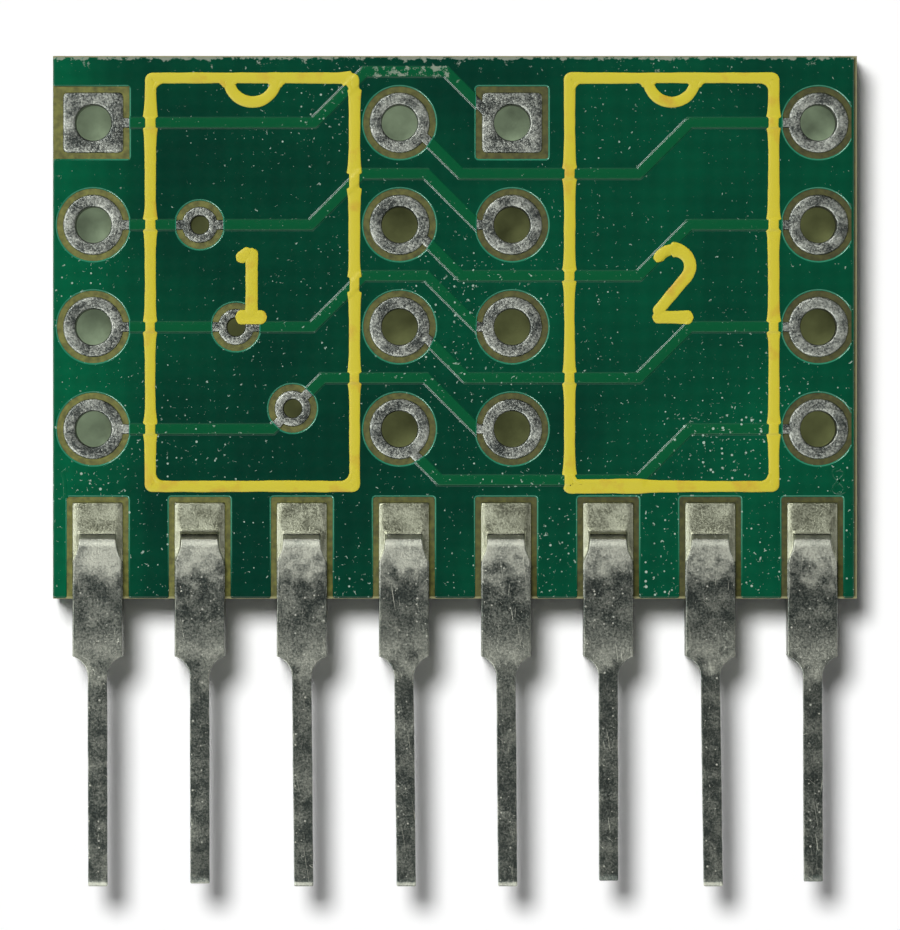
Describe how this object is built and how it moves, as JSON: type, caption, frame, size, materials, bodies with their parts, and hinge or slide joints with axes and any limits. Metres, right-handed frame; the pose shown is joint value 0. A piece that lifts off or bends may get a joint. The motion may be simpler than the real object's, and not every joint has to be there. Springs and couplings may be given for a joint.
{
  "type": "single-in-line adapter board",
  "caption": "Small green circuit board with two dual-in-line chip positions, printed chip outlines and a row of flat clip-on leads along one edge.",
  "frame": {"origin": "middle of the whole part seen from above, at the height of the rear clip fingers it lies on", "axes": "+X along the row of leads from lead 1 to lead 8, +Y from the leads to the board's far edge, +Z out of the face that carries the chips"},
  "size_m": [0.02, 0.0206, 0.0023],
  "materials": {
    "glass_epoxy": "matte",
    "solder_mask": "semi-gloss lacquer",
    "tinned_copper": "tin-dipped, satin",
    "tinned_sheet": "tin-plated, satin",
    "solder": "bright solder",
    "legend_ink": "printed ink"
  },
  "bodies": {
    "root": {"laminate": "glass_epoxy", "solder_mask_front": "solder_mask", "solder_mask_back": "solder_mask", "net_1": "tinned_copper", "net_2": "tinned_copper", "net_3": "tinned_copper", "net_4": "tinned_copper", "net_5": "tinned_copper", "net_6": "tinned_copper", "net_7": "tinned_copper", "net_8": "tinned_copper", "edge_pad_1": "tinned_copper", "edge_pad_2": "tinned_copper", "edge_pad_3": "tinned_copper", "edge_pad_4": "tinned_copper", "edge_pad_5": "tinned_copper", "edge_pad_6": "tinned_copper", "edge_pad_7": "tinned_copper", "edge_pad_8": "tinned_copper", "lead_clip_1": "tinned_sheet", "lead_clip_2": "tinned_sheet", "lead_clip_3": "tinned_sheet", "lead_clip_4": "tinned_sheet", "lead_clip_5": "tinned_sheet", "lead_clip_6": "tinned_sheet", "lead_clip_7": "tinned_sheet", "lead_clip_8": "tinned_sheet", "solder_front_1": "solder", "solder_front_2": "solder", "solder_front_3": "solder", "solder_front_4": "solder", "solder_front_5": "solder", "solder_front_6": "solder", "solder_front_7": "solder", "solder_front_8": "solder", "solder_rear_1": "solder", "solder_rear_2": "solder", "solder_rear_3": "solder", "solder_rear_4": "solder", "solder_rear_5": "solder", "solder_rear_6": "solder", "solder_rear_7": "solder", "solder_rear_8": "solder", "legend_chip_1": "legend_ink", "legend_chip_2": "legend_ink"}
  },
  "joints": []
}
